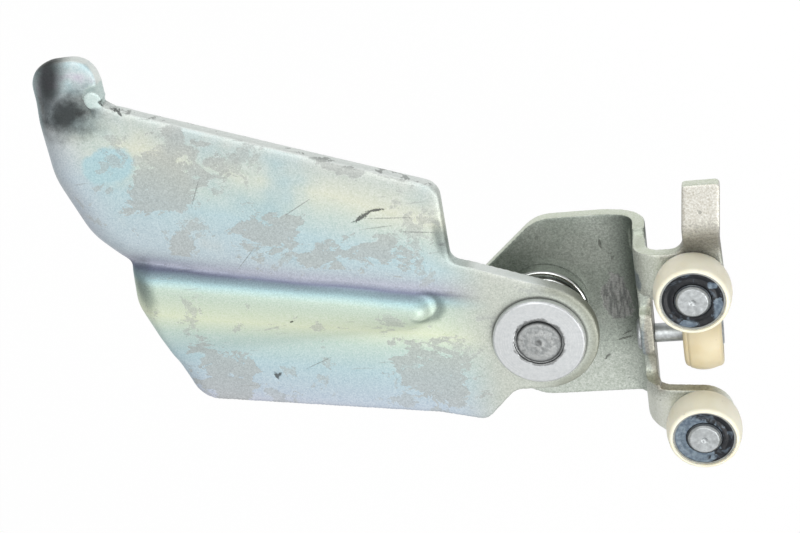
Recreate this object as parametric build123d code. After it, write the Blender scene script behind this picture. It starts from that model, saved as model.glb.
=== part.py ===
from build123d import *
import os
from math import acos, atan2, cos, sin, tan

# Sliding door roller guide: a pressed arm that bolts to the door, a folded carriage
# that swivels on the arm, two upright guide rollers and one load roller.
# Millimetres. Everything is drawn about the swivel axis: x to the rollers, y across
# the arm, z along the axis, z = 0 at the back of the arm's ear. The finished pieces
# are then moved so that the origin lies in the middle of the bolted door face.

# Sheet thicknesses
arm_sheet = 5.0
carriage_sheet = 4.0

# Arm: crease between its halves, and the rolled margins of the door side
door_edge_x = -143.5
crease_mid = (-46.2, 20.3)
crease_slope = -0.176
crease_left_x = -126.4
crease_drop = (2.0, 12.5)
upper_side = (42.5, 63.0)
upper_side_low_x = -136.4
upper_side_rounds = [24.0, 22.0, 13.0]
upper_margin_roll = 11.0
lower_side = ((-126.5, 20.0), (-104.4, -45.0))
lower_side_round = 14.0
lower_margin_roll = 8.0
margin_depth = 9.0
pressed_right_x = (-40.0, -30.0)

# Arm: cut edges of the plate from its top left corner round to the ear, and from the
# ear round to its bottom left corner, as x, y and corner radius
ear_radius = 17.9
top_cut = [
    (-160.0, 80.0, 1.0), (-122.0, 80.0, 0.0), (-122.0, 87.9, 1.0), (-118.6, 87.3, 0.0), (-109.0, 83.2, 40.0),
    (-23.3, 52.6, 5.5), (-23.3, 27.6, 3.5), (-17.5, 25.7, 1.0),
]
bottom_cut = [
    (-9.6, -17.9, 5.5), (-19.7, -28.4, 4.5), (-34.0, -24.8, 12.0), (-113.0, -14.8, 13.0), (-121.0, 4.0, 1.0),
    (-160.0, 4.0, 1.0),
]

# Arm: corner tab beside the door face
tab_top_y = 100.9
tab_right_x = -119.4
tab_set_back = 3.6
tab_step_y = (81.0, 88.5)
tab_corner_left = 12.0
tab_corner_right = 7.0
tab_root = (-121.0, 88.8)
tab_root_radius = 3.0
tab_margin_end_y = (87.0, 99.0)

# Arm: stiffening rib and raised lower half
rib_radius = 6.0
rib_height = 4.0
rib_end_x = -31.0
rib_foot_y = (-2.0, 4.0)
rib_foot_rise = 0.8
rib_base_depth = 2.5
rib_inner_share = 0.45
valley_x = (-116.0, -34.0)
valley_y = (-15.0, 45.0)
valley_web_depth = 5.0
flat_left_x = -50.0

# Arm: flange that bolts to the door
flange_low_y = 57.0
flange_high_y = 90.0
flange_depth = 34.0
flange_corner = 7.0
door_bolt_y = 74.0
door_bolt_z = -20.0
door_bolt_spacing = 17.0
door_bolt_hole_d = 8.5

# Swivel
pin_d = 12.0
pin_head_d = 19.0
pin_head_thickness = 3.0
pin_peen_d = 14.0
washer_d = 28.0
washer_thickness = 2.4
washer_recess_d = 15.0
washer_recess_depth = 0.9
washer_chamfer = 0.5
collar_d = 28.0
collar_flange = 5.0
collar_hub_d = 22.0
bush_wall = 1.5
bush_flange_d = 24.0
bush_flange = 1.0
running_clearance = 0.06
face_clearance = 0.1

# Carriage
carriage_front_z = -16.6
wall_top_y = 28.2
carriage_bottom_y = -33.5
wall_x = 29.5
ear_front_z = 3.0
sheet_bend_inner = 4.0
plate_cut = [(21.0, 29.6, 20.0), (0.3, 29.6, 12.0), (-23.5, 8.2, 16.0), (-19.5, -12.0, 16.0), (-9.0, -33.5, 14.0)]
wall_zone_x = (20.0, 34.2)
wall_foot = [(-6.0, 3.0), (-15.0, 3.0)]
notch_floor_y = 24.5
notch_rounds = [2.0, 3.5]
notch_corner_round = 4.0
notch_wall_z = -9.0
relief_floor_z = -5.5
ears_gap_y = (-20.5, 9.8)
relief_rounds = [2.8, 3.6]
tongue_front_z = -1.5
tongue_y = (-12.0, 2.2)
tongue_root = (3.8, 3.0)
tongue_round = 1.5
guide_ear_radius = 9.4
lower_ear_corner = (29.4, -34.3)
lower_ear_round = 2.8
strap_left_x = 44.6
strap_right_x = 55.2
strap_lean = 1.2
strap_top_y = 47.9
strap_step = 4.5
strap_step_y = (25.5, 33.0)
strap_waist_round = 20.0
strap_corner = 1.2
strap_edge_round = (0.6, 0.4)

# Rollers
guide_tread_wall = 1.8
load_tread_wall = 2.5
crown_share = 0.33
rim_round_share = 0.57
roller_width = 11.6
roller_gap = 0.7
tread_lip = 0.6
guide_roller_x = 46.4
guide_roller_y = {"upper": 15.0, "lower": -31.9}
load_roller_y = -7.4
load_roller_z = -7.3
load_roller_x = 42.1

# Roller bearing
bearing_d = 19.0
bearing_bore = 6.0
inner_wall_share = 0.355
outer_wall_share = 0.275
ball_share = 0.54
ball_count = 7
ball_clearance = 0.05
seal_rim = 0.8
seal_thickness = 1.0
seal_lip_gap = 0.15
lip_overlap = 0.3
cage_width = 5.0
cage_wall = 1.0
cage_pocket_clearance = 0.1
race_step = 0.1

# Roller axles
axle_d = bearing_bore
axle_neck_d = 6.4
load_axle_neck_d = 5.0
load_axle_d = 5.8
axle_shoulder_d = 9.6
axle_head_d = 9.6
axle_head_face_d = 8.6
axle_head_height = 1.0
axle_dimple_d = 1.6
axle_rivet_d = 9.4
axle_rivet_height = 1.2

# Sizes that follow
bush_inner_r = pin_d / 2 + running_clearance
bush_outer_r = bush_inner_r + bush_wall
race_width = roller_width - 2 * tread_lip
ring_space = (bearing_d - bearing_bore) / 2
inner_race_d = bearing_bore + 2 * inner_wall_share * ring_space
outer_race_bore = bearing_d - 2 * outer_wall_share * ring_space
ball_d = ball_share * ring_space
ball_pitch_r = (inner_race_d + outer_race_bore) / 4
seal_seat_d = bearing_d - 2 * seal_rim
lip_opening_d = bearing_d - 2 * lip_overlap
guide_roller_d = bearing_d + 2 * guide_tread_wall
load_roller_d = bearing_d + 2 * load_tread_wall
reach = -1.4 * door_edge_x
door_face_middle = Vector(door_edge_x, door_bolt_y, door_bolt_z)


def prism(points, radii, low, high):
    """Upright block with a rounded outline, from height low to height high."""
    outline = FilletPolyline(*points, radius=radii, close=True)
    return Pos(0, 0, low) * extrude(make_face(outline), amount=high - low)


def top_edges(block, height, test):
    """Edges of a block that lie at one height and pass a test on their middle."""
    picked = []
    for edge in block.edges():
        box = edge.bounding_box()
        if abs(box.min.Z - height) < 1e-4 and abs(box.max.Z - height) < 1e-4:
            if test(edge.position_at(0.5)):
                picked.append(edge)
    return picked


def tangent_point(start, centre, radius, side):
    """Point where a line from start touches a circle, on one side (1 or -1) of it."""
    away = Vector(*start) - Vector(*centre)
    angle = atan2(away.Y, away.X) + side * acos(radius / away.length)
    return (centre[0] + radius * cos(angle), centre[1] + radius * sin(angle))


def crease_y(x):
    """Height of the crease between the arm's two halves at one x."""
    return crease_mid[1] + crease_slope * (x - crease_mid[0])


def upper_half(inset, floor):
    """Upper half of the arm below its face, rolled over along the door side."""
    edge_x = door_edge_x + inset
    face_z = arm_sheet - inset
    low_left = crease_left_x + 0.7 * inset
    right = pressed_right_x[0]
    low_y, high_y = upper_side
    left_drop, right_drop = crease_drop
    outline = [
        (edge_x, reach), (edge_x, high_y), (upper_side_low_x + 0.9 * inset, low_y + 0.4 * inset),
        (low_left, crease_y(low_left) - left_drop + 1.4 * inset), (right, crease_y(right) - right_drop),
        (right, reach),
    ]
    block = prism(outline, [0, *upper_side_rounds, 0, 0], floor, face_z)
    rolled = top_edges(block, face_z, lambda p: p.X < right - 1 and p.Y < reach - 1)
    return fillet(rolled, upper_margin_roll - inset)


def lower_half(inset, floor, lift=0):
    """Lower half of the arm below its face, or lifted, rolled over at its door end."""
    face_z = arm_sheet + lift - inset
    side_top, side_low = lower_side
    left = side_top[0] + inset
    right = pressed_right_x[1]
    outline = [
        (left, side_top[1]), (side_low[0] + inset, side_low[1]), (right, side_low[1]),
        (right, crease_y(right) - inset), (left + 1.5, crease_y(side_top[0]) - inset),
    ]
    block = prism(outline, [lower_side_round, 0, 0, 0, 0], floor, face_z)
    rolled = top_edges(block, face_z, lambda p: p.X < side_low[0] and p.Y < crease_y(p.X) - inset - 3)
    return fillet(rolled, lower_margin_roll + lift - inset)


def rib_section(x, foot, inset):
    """Cross section of the rib at one x: round above the crest, a slope down to its foot."""
    base = arm_sheet - inset - rib_base_depth
    crest = arm_sheet + rib_height - inset
    radius = rib_radius if inset == 0 else rib_inner_share * rib_radius
    ridge = crease_y(x) - rib_radius
    side = crest - radius
    foot_z = arm_sheet - inset - rib_foot_rise
    outline = [
        RadiusArc((ridge + radius, side), (ridge, crest), -radius),
        Spline((ridge, crest), (foot, foot_z), tangents=[(-1, 0), (-1, -0.35)]),
        Polyline((foot, foot_z), (foot, base), (ridge + radius, base), (ridge + radius, side)),
    ]
    return Plane(origin=(x, 0, 0), x_dir=(0, 1, 0), z_dir=(1, 0, 0)) * make_face(outline)


def rib(inset):
    """Rib along the crease: broad where it starts at the door end, with a round end."""
    crest = arm_sheet + rib_height - inset
    radius = rib_radius if inset == 0 else rib_inner_share * rib_radius
    end_x = rib_end_x - rib_radius
    sections = [rib_section(crease_left_x - 5, rib_foot_y[0], inset), rib_section(end_x, rib_foot_y[1], inset)]
    end = Pos(end_x, crease_y(end_x) - rib_radius, crest - radius) * Sphere(radius)
    return (loft(sections, ruled=True) + end) & lower_half(inset, -arm_sheet, rib_height + 1)


def tab_section(inset, y, set_back):
    """Cross section of the arm beside its rolled door edge, at one height y."""
    face_z = arm_sheet - set_back - inset
    left, right = door_edge_x + inset + 0.12 * set_back, tab_right_x + 10
    floor = -flange_depth
    roll = upper_margin_roll - set_back - inset
    outline = FilletPolyline(
        (left, face_z), (right, face_z), (right, floor), (left, floor), radius=[roll, 0, 0, 0], close=True)
    return make_face(Plane(origin=(0, y, 0), x_dir=(1, 0, 0), z_dir=(0, -1, 0)) * outline)


def tab_block(inset):
    """Rolled door edge that steps back from the arm's face into the corner tab."""
    low, high = tab_step_y
    stations = [(low - 6, 0), (low, 0)]
    for part in (0.25, 0.5, 0.75):
        eased = part * part * (3 - 2 * part)
        stations.append((low + part * (high - low), eased * tab_set_back))
    stations += [(high, tab_set_back), (tab_top_y + 5, tab_set_back)]
    return loft([tab_section(inset, y, set_back) for y, set_back in stations], ruled=True)


def corner_tab():
    """Rounded tab beside the door face, set back from the arm's face."""
    low, high = tab_step_y
    left, outside = door_edge_x + 0.5, door_edge_x - 10
    outline = [(outside, low - 5), (tab_right_x - 1, low - 5), (tab_right_x, tab_top_y), (left, tab_top_y),
               (left, high), (outside, high)]
    limit = prism(outline, [0, 0, tab_corner_right, tab_corner_left, 0, 0], -margin_depth, arm_sheet + 1)
    back = -tab_set_back
    below = -margin_depth - 1
    run_out = Polyline((tab_margin_end_y[0], below), (tab_margin_end_y[1], back), (reach, back), (reach, below),
                       close=True)
    side = Plane(origin=(outside, 0, 0), x_dir=(0, 1, 0), z_dir=(1, 0, 0))
    sheet = (tab_block(0) - tab_block(arm_sheet)) & limit
    sheet -= extrude(side * make_face(run_out), amount=tab_right_x - outside + 1)
    return sheet + Pos(*tab_root, arm_sheet / 2) * Cylinder(tab_root_radius, arm_sheet)


def plate_limit(low, high):
    """Block with the arm's cut edges and a round ear, to trim the pressed faces."""
    ear_top = tangent_point(top_cut[-1][:2], (0, 0), ear_radius, -1)
    ear_corners = [(*ear_top, 0), (0, 0, 0), (0, -ear_radius, 0)]
    corners = top_cut + ear_corners + bottom_cut
    block = prism([(x, y) for x, y, radius in corners], [radius for x, y, radius in corners], low, high)
    return block + Pos(0, 0, (low + high) / 2) * Cylinder(ear_radius, high - low)


def door_flange():
    """Flat flange behind the rolled edge, with the holes of the two door bolts."""
    height = flange_high_y - flange_low_y
    depth = flange_depth - margin_depth + 1
    middle = Vector(door_edge_x + arm_sheet / 2, (flange_low_y + flange_high_y) / 2, -flange_depth + depth / 2)
    plate = Pos(*middle) * Box(arm_sheet, height, depth)
    corners = plate.edges().filter_by(Axis.X).sort_by(Axis.Z)[:2]
    plate = fillet(corners, flange_corner)
    for side in (-0.5, 0.5):
        hole = Pos(door_edge_x, door_bolt_y + side * door_bolt_spacing, door_bolt_z)
        plate -= hole * Rot(0, 90, 0) * Cylinder(door_bolt_hole_d / 2, 4 * arm_sheet)
    return plate


def door_arm():
    """Pressed arm: face with rib and rolled margins, ear, corner tab and door flange."""
    floor = -flange_depth
    flat = Pos(flat_left_x + reach / 2, 0, arm_sheet - reach / 2) * Box(reach, 2 * reach, reach)
    outer = upper_half(0, floor) + lower_half(0, floor) + flat
    outer = (outer & plate_limit(floor, arm_sheet + rib_height)) + rib(0)
    hollow = upper_half(arm_sheet, floor) + lower_half(arm_sheet, floor)
    hollow += Pos(0, 0, -arm_sheet) * flat + rib(arm_sheet)
    left, right = valley_x
    low, high = valley_y
    valley = Box(right - left, high - low, reach)
    valley = Pos((left + right) / 2, (low + high) / 2, -valley_web_depth - reach / 2) * valley
    below = Pos(0, 0, -margin_depth - reach / 2) * Box(2 * reach, 2 * reach, reach)
    arm = outer - hollow - valley - below
    return arm + corner_tab() + door_flange() - Cylinder(bush_outer_r, 4 * arm_sheet)


def turned(points, radii=None):
    """Solid of revolution about z from an outline given as (radius, height)."""
    radii = radii or [0] * len(points)
    outline = FilletPolyline(*points, radius=radii, close=True)
    return revolve(Plane.XZ * make_face(outline), Axis.Z)


def pivot_bush():
    """Flanged bush pressed into the arm's ear, its flange on the carriage side."""
    return turned([
        (bush_inner_r, -bush_flange), (bush_flange_d / 2, -bush_flange), (bush_flange_d / 2, 0),
        (bush_outer_r, 0), (bush_outer_r, arm_sheet), (bush_inner_r, arm_sheet),
    ])


def pivot_pin():
    """Stepped pin with a head behind the carriage and a riveted end in the washer."""
    back = carriage_front_z - carriage_sheet
    washer_back = arm_sheet + face_clearance
    recess_floor = washer_back + washer_thickness - washer_recess_depth
    face = washer_back + washer_thickness
    shank = pin_d / 2
    head = pin_head_d / 2
    peen = pin_peen_d / 2
    shaft = turned([
        (0, back - pin_head_thickness), (head, back - pin_head_thickness), (head, back), (shank, back),
        (shank, recess_floor), (peen, recess_floor), (peen, face - 0.1), (0, face + 0.3),
    ], [0, 1.2, 0, 0, 0, 0, 0.4, 0])
    punch = Pos(0, 0, face + 0.4) * Cone(0.3, 1.2, 1.0)
    return shaft - punch


def pivot_collar():
    """Flanged spacer on the pin between the carriage and the arm's ear."""
    front = -bush_flange - face_clearance
    step = carriage_front_z + collar_flange
    return turned([
        (pin_d / 2, carriage_front_z), (collar_d / 2, carriage_front_z), (collar_d / 2, step),
        (collar_hub_d / 2, step), (collar_hub_d / 2, front), (pin_d / 2, front),
    ], [0, 0.4, 1.0, 0.8, 0.5, 0])


def pivot_washer():
    """Thick washer under the riveted end, with a recess round the pin."""
    back = arm_sheet + face_clearance
    face = back + washer_thickness
    rim = washer_d / 2
    recess = washer_recess_d / 2
    return turned([
        (pin_d / 2, back), (rim, back), (rim, face - washer_chamfer), (rim - washer_chamfer, face),
        (recess, face), (recess, face - washer_recess_depth), (pin_d / 2, face - washer_recess_depth),
    ], [0, 0.3, 0, 0, 0.4, 0, 0])


def folded_strip():
    """Endless carriage sheet: swivel plate, wall and ear plane joined by two bends."""
    back = carriage_front_z - carriage_sheet
    ear_back = ear_front_z - carriage_sheet
    outer_bend = sheet_bend_inner + carriage_sheet
    wall_back = wall_x + carriage_sheet
    points = [
        (-reach, back), (-reach, carriage_front_z), (wall_x, carriage_front_z), (wall_x, ear_front_z),
        (reach, ear_front_z), (reach, ear_back), (wall_back, ear_back), (wall_back, back),
    ]
    radii = [0, 0, sheet_bend_inner, outer_bend, 0, 0, sheet_bend_inner, outer_bend]
    outline = FilletPolyline(*points, radius=radii, close=True)
    end = Plane(origin=(0, reach, 0), x_dir=(1, 0, 0), z_dir=(0, -1, 0))
    return extrude(end * make_face(outline), amount=2 * reach)


def swivel_plate_outline():
    """Cut outline of the swivel plate, run on past the wall."""
    corners = [(reach, wall_top_y, 0), (wall_x + carriage_sheet, wall_top_y, 0), *plate_cut,
               (reach, carriage_bottom_y, 0)]
    points = [(x, y) for x, y, radius in corners]
    return prism(points, [radius for x, y, radius in corners], -flange_depth, carriage_front_z + sheet_bend_inner)


def wall_outline(x, depth, has_tongue):
    """Cut outline of the wall seen along x, with its notch, relief cut and tongue."""
    low_gap, high_gap = ears_gap_y
    ear_bottom = lower_ear_corner[1] - 2 * carriage_sheet
    front = ear_front_z + carriage_sheet
    back = -flange_depth
    gap = [(high_gap, relief_floor_z), (low_gap, relief_floor_z)]
    gap_radii = list(relief_rounds)
    if has_tongue:
        low, high = tongue_y
        upper_round, lower_round = relief_rounds
        gap[1:1] = [(high, relief_floor_z), (high, tongue_front_z), (low, tongue_front_z), (low, relief_floor_z)]
        gap_radii[1:1] = [upper_round, tongue_round, tongue_round, lower_round]
    (ear_foot_z, ear_foot_round), (plate_foot_z, plate_foot_round) = wall_foot
    points = [
        (wall_top_y, back), (wall_top_y, notch_wall_z), (notch_floor_y, notch_wall_z),
        (notch_floor_y, front), (high_gap, front), *gap, (low_gap, front), (ear_bottom, front),
        (ear_bottom, ear_foot_z), (carriage_bottom_y, plate_foot_z), (carriage_bottom_y, back),
    ]
    radii = [0, *notch_rounds, 0, 0, *gap_radii, 0, 0, ear_foot_round, plate_foot_round, 0]
    outline = FilletPolyline(*points, radius=radii, close=True)
    side = Plane(origin=(x, 0, 0), x_dir=(0, 1, 0), z_dir=(1, 0, 0))
    return extrude(side * make_face(outline), amount=depth)


def guide_ear_outlines():
    """Cut outlines of the two ears that carry the guide rollers."""
    low_gap, high_gap = ears_gap_y
    upper_y, lower_y = guide_roller_y["upper"], guide_roller_y["lower"]
    x, r = guide_roller_x, guide_ear_radius
    low, high = relief_floor_z - 0.5, ear_front_z + 1
    strap_foot_y = strap_step_y[0] + carriage_sheet / 2
    upper = prism(
        [(wall_x + carriage_sheet - 0.5, notch_floor_y), (strap_left_x, notch_floor_y), (strap_left_x, strap_foot_y),
         (strap_right_x, strap_foot_y), (x + r, upper_y), (x, upper_y - r), (x - carriage_sheet, upper_y - r),
         (wall_x + carriage_sheet - 0.5, high_gap)],
        [0, 0, 0, 0, 0, 0, relief_rounds[0], 0], low, high)
    touch = tangent_point(lower_ear_corner, (x, lower_y), r, 1)
    left = wall_zone_x[0]
    lower = prism([(left, low_gap), (x, lower_y + r), (x, lower_y), touch, lower_ear_corner, (left, lower_y)],
                  [0, 0, 0, 0, 0, 0], low, high)
    ends = [Pos(x, y, (low + high) / 2) * Cylinder(r, high - low) for y in (upper_y, lower_y)]
    return upper + lower + ends


def strap():
    """Tab above the upper guide roller, with a step forward in the sheet."""
    back = ear_front_z - carriage_sheet
    step_low, step_high = strap_step_y
    shift = carriage_sheet * tan(atan2(strap_step, step_high - step_low) / 2)
    root = notch_floor_y - 1.5 * carriage_sheet
    points = [
        (root, ear_front_z), (step_low, ear_front_z), (step_high, ear_front_z + strap_step),
        (strap_top_y, ear_front_z + strap_step), (strap_top_y, back + strap_step),
        (step_high + shift, back + strap_step), (step_low + shift, back), (root, back),
    ]
    bend = sheet_bend_inner + carriage_sheet
    front_round, back_round = strap_edge_round
    inner, outer = bend - carriage_sheet / 4, bend + 3 * carriage_sheet / 4
    radii = [0, inner, outer, front_round, back_round, inner, outer, 0]
    outline = FilletPolyline(*points, radius=radii, close=True)
    side = Plane(origin=(0, 0, 0), x_dir=(0, 1, 0), z_dir=(1, 0, 0))
    sheet = extrude(side * make_face(outline), amount=reach)
    waist = (step_low + step_high) / 2
    width = prism(
        [(strap_left_x, root), (strap_left_x, waist + carriage_sheet), (strap_left_x + strap_lean, strap_top_y),
         (strap_right_x + strap_lean, strap_top_y), (strap_right_x, waist), (strap_right_x, root)],
        [0, strap_waist_round, strap_corner, strap_corner, strap_waist_round, 0], -reach, reach)
    return sheet & width


def lower_ear_cut():
    """Waste round the lower ear's rounded and sloping bottom corner."""
    centre = (guide_roller_x, guide_roller_y["lower"])
    touch = tangent_point(lower_ear_corner, centre, guide_ear_radius, 1)
    left, right = wall_zone_x[0], guide_roller_x - carriage_sheet
    low, high = -reach, lower_ear_corner[1] + carriage_sheet
    top = ears_gap_y[0]
    kept = prism([(lower_ear_corner[0], top), lower_ear_corner, touch, (reach, touch[1]), (reach, top)],
                 [0, lower_ear_round, 0, 0, 0], notch_wall_z - 3, reach)
    waste = prism([(left, low), (left, high), (right, high), (right, low)], [0, 0, 0, 0], notch_wall_z - 3, reach)
    return waste - kept


def tongue():
    """Short tongue of the wall that stands up beside the load roller's axle."""
    low, high = tongue_y[0] - tongue_root[0], tongue_y[1] + tongue_root[1]
    depth = tongue_front_z - relief_floor_z + tongue_root[1]
    near = Pos(wall_x, (low + high) / 2, tongue_front_z - depth / 2) * Box(reach, high - low, depth)
    return wall_outline(wall_x, carriage_sheet, True) & near


def notch_corner():
    """Rounded inner corner between the notch floor and the strap."""
    x, y = strap_left_x, notch_floor_y
    run = 1.5 * notch_corner_round
    points = [(x - run, y - 1), (x + 1, y - 1), (x + 1, y + run), (x, y + run), (x, y), (x - run, y)]
    return prism(points, [0, 0, 0, 0, notch_corner_round, 0], ear_front_z - carriage_sheet, ear_front_z)


def carriage_bracket():
    """Folded carriage: swivel plate, wall with tongue, two roller ears and the strap."""
    near, far = wall_zone_x
    outlines = swivel_plate_outline() + wall_outline(near, far - near, False) + guide_ear_outlines()
    bracket = (folded_strip() & outlines) + tongue() - lower_ear_cut() + strap() + notch_corner()
    bracket -= Cylinder(pin_d / 2, reach)
    for y in guide_roller_y.values():
        bracket -= Pos(guide_roller_x, y, 0) * Cylinder(axle_neck_d / 2, reach)
    through = Cylinder(load_axle_neck_d / 2, 8 * carriage_sheet)
    load_hole = Pos(wall_x, load_roller_y, load_roller_z) * Rot(0, 90, 0) * through
    return bracket - load_hole


def roller_axle(neck_d, shoulder_d, shoulder):
    """Axle riveted through a sheet, with a shoulder, a seat for the race and a head."""
    sheet_back = -shoulder - carriage_sheet
    rivet_end = sheet_back - axle_rivet_height
    neck = neck_d / 2
    seat = axle_d / 2
    end = race_width + 2 * race_step
    axle = turned([
        (0, rivet_end), (axle_rivet_d / 2, rivet_end), (axle_rivet_d / 2, sheet_back), (neck, sheet_back),
        (neck, -shoulder), (shoulder_d / 2, -shoulder), (shoulder_d / 2, 0), (seat, 0), (seat, end),
        (axle_head_d / 2, end), (axle_head_d / 2, end + 0.3 * axle_head_height),
        (axle_head_face_d / 2, end + axle_head_height), (0, end + axle_head_height),
    ], [0, 1.0, 0, 0, 0, 0, 0, 0, 0, 0, 0, 0.2, 0])
    dimple = Pos(0, 0, end + axle_head_height) * Sphere(axle_dimple_d / 2)
    return axle - dimple


def inner_race():
    """Inner ring of the roller bearing with its ball groove."""
    width = race_width + 2 * race_step
    ring = turned([
        (axle_d / 2, 0), (inner_race_d / 2, 0), (inner_race_d / 2, width), (axle_d / 2, width),
    ], [0, 0.3, 0.3, 0])
    return ring - ball_track(ball_clearance)


def ball_track(clearance):
    """Ring swept by a ball on its pitch circle, larger by a clearance."""
    middle = race_step + race_width / 2
    return Pos(0, 0, middle) * Torus(ball_pitch_r, ball_d / 2 + clearance)


def outer_race():
    """Outer ring of the roller bearing, counterbored at both ends for the seals."""
    low, high = race_step, race_step + race_width
    rim, seat, bore = bearing_d / 2, seal_seat_d / 2, outer_race_bore / 2
    ring = turned([
        (seat, low), (rim, low), (rim, high), (seat, high), (seat, high - seal_thickness),
        (bore, high - seal_thickness), (bore, low + seal_thickness), (seat, low + seal_thickness),
    ])
    return ring - ball_track(ball_clearance)


def seal(low, outward):
    """Rubber seal in the outer race, with a shallow ring groove on its open face."""
    inner, rim = inner_race_d / 2 + seal_lip_gap, seal_seat_d / 2
    ring = turned([(inner, low), (rim, low), (rim, low + seal_thickness), (inner, low + seal_thickness)])
    open_face = low + seal_thickness if outward else low
    return ring - Pos(0, 0, open_face) * Torus((inner + rim) / 2, 0.35)


def roller_balls():
    """Bearing balls spaced evenly on the pitch circle."""
    middle = race_step + race_width / 2
    turn = 360 / ball_count
    ball = Pos(ball_pitch_r, 0, middle) * Sphere(ball_d / 2)
    return [Rot(0, 0, turn * (i + 0.5)) * ball for i in range(ball_count)]


def ball_cage():
    """Cage ring with one pocket for each ball."""
    middle = race_step + race_width / 2
    low, high = middle - cage_width / 2, middle + cage_width / 2
    inner, outer = ball_pitch_r - cage_wall / 2, ball_pitch_r + cage_wall / 2
    ring = turned([(inner, low), (outer, low), (outer, high), (inner, high)])
    turn = 360 / ball_count
    pocket = Pos(ball_pitch_r, 0, middle) * Rot(0, 90, 0) * Cylinder(ball_d / 2 + cage_pocket_clearance, 4)
    for i in range(ball_count):
        ring -= Rot(0, 0, turn * (i + 0.5)) * pocket
    return ring


def roller_tread(crown_d):
    """Nylon tread with a crowned outside, moulded round the outer race with two lips."""
    low = race_step - tread_lip
    high = low + roller_width
    middle = (low + high) / 2
    race_low, race_high = race_step, race_step + race_width
    lip, groove = lip_opening_d / 2, bearing_d / 2
    wall = crown_d / 2 - lip
    rim = crown_d / 2 - crown_share * wall
    rounding = rim_round_share * wall
    crown = ThreePointArc((rim, low + rounding), (crown_d / 2, middle), (rim, high - rounding))
    edges = [
        Polyline((lip, high), (lip, race_high), (groove, race_high), (groove, race_low), (lip, race_low), (lip, low)),
        Line((lip, low), (rim - rounding, low)),
        RadiusArc((rim - rounding, low), (rim, low + rounding), -rounding),
        crown,
        RadiusArc((rim, high - rounding), (rim - rounding, high), -rounding),
        Line((rim - rounding, high), (lip, high)),
    ]
    return revolve(Plane.XZ * make_face(edges), Axis.Z)


def roller_pieces(name, crown_d, neck_d, shoulder_d, shoulder):
    """All pieces of one roller on its axle, standing on the axle's shoulder at z = 0."""
    front = race_step + race_width - seal_thickness
    return {
        f"{name}_axle": roller_axle(neck_d, shoulder_d, shoulder),
        f"{name}_inner_race": inner_race(),
        f"{name}_outer_race": outer_race(),
        f"{name}_balls": Compound(children=roller_balls()),
        f"{name}_cage": ball_cage(),
        f"{name}_rear_seal": seal(race_step, False),
        f"{name}_front_seal": seal(front, True),
        f"{name}_tread": roller_tread(crown_d),
    }


def build_parts():
    """Every piece of the assembly at rest, by node name, about the swivel axis."""
    pieces = {
        "door_arm": door_arm(),
        "pivot_bush": pivot_bush(),
        "carriage_bracket": carriage_bracket(),
        "pivot_pin": pivot_pin(),
        "pivot_collar": pivot_collar(),
        "pivot_washer": pivot_washer(),
    }
    guide_shoulder = roller_gap + tread_lip - race_step
    for side, y in guide_roller_y.items():
        place = Pos(guide_roller_x, y, ear_front_z + guide_shoulder)
        roller = roller_pieces(f"{side}_guide", guide_roller_d, axle_neck_d, axle_shoulder_d, guide_shoulder)
        for node, piece in roller.items():
            pieces[node] = place * piece
    seat_x = load_roller_x + tread_lip - race_step
    place = Pos(seat_x, load_roller_y, load_roller_z) * Rot(0, 90, 0)
    roller = roller_pieces(
        "load_roller", load_roller_d, load_axle_neck_d, load_axle_d, seat_x - wall_x - carriage_sheet)
    for node, piece in roller.items():
        pieces[node] = place * piece
    return pieces


os.makedirs("parts", exist_ok=True)
for node, piece in build_parts().items():
    export_step(Pos(*(-door_face_middle)) * piece, f"parts/{node}.step")
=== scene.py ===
"""Looks of a sliding door roller guide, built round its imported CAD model.

The arm and the carriage are pressed sheet with zinc plating, so each gets a fine skin with
eased edges, dents and a plating material. Washer, pin, treads, seals and axles are lathed.
Places, sizes and radii are in millimetres in the part's frame, unless a line says metres.
"""

import math

import bmesh
import bpy
import numpy as np
from mathutils import Euler, Matrix, Vector, noise


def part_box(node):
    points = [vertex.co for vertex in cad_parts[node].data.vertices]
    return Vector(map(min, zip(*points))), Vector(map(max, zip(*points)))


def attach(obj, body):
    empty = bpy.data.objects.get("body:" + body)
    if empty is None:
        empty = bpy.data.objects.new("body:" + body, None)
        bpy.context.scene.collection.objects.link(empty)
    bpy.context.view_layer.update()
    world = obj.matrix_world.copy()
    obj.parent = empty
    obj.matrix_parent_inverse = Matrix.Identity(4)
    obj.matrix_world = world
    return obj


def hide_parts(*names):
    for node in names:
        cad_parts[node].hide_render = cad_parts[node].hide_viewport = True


bl_info = {
    "name": "Sliding door roller guide",
    "version": (1, 0, 0),
    "blender": (4, 5, 0),
    "location": "View3D > Sidebar > Roller guide",
    "description": "Builds the looks of a sliding door roller guide round its CAD model",
    "category": "Object",
}

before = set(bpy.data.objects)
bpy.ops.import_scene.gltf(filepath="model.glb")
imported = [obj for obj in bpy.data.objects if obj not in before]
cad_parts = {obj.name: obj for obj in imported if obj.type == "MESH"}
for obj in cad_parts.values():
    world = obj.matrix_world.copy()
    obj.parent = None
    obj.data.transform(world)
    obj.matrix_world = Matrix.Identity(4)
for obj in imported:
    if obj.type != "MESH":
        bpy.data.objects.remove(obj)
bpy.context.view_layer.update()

MM = 0.001
ON_AXIS = 1e-7  # radius in metres below which a turned ring is one point
ROLLERS = ("upper_guide", "lower_guide", "load_roller")
SWIVEL = (143.5, -74.0)

# Crease between the arm's halves and its sheared top edge: a point and the slope
CREASE = ((97.3, -53.7), -0.176)
TOP_EDGE = ((34.5, 9.2), -0.357)

# Folded lobe at the tab's root, the kink in the lower half's rolled margin, the rib's dome
LOBE = (22.3, 15.4)
MARGIN_KINK = (26.5, -76)
DOME = (109.6, -60.1)

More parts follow.
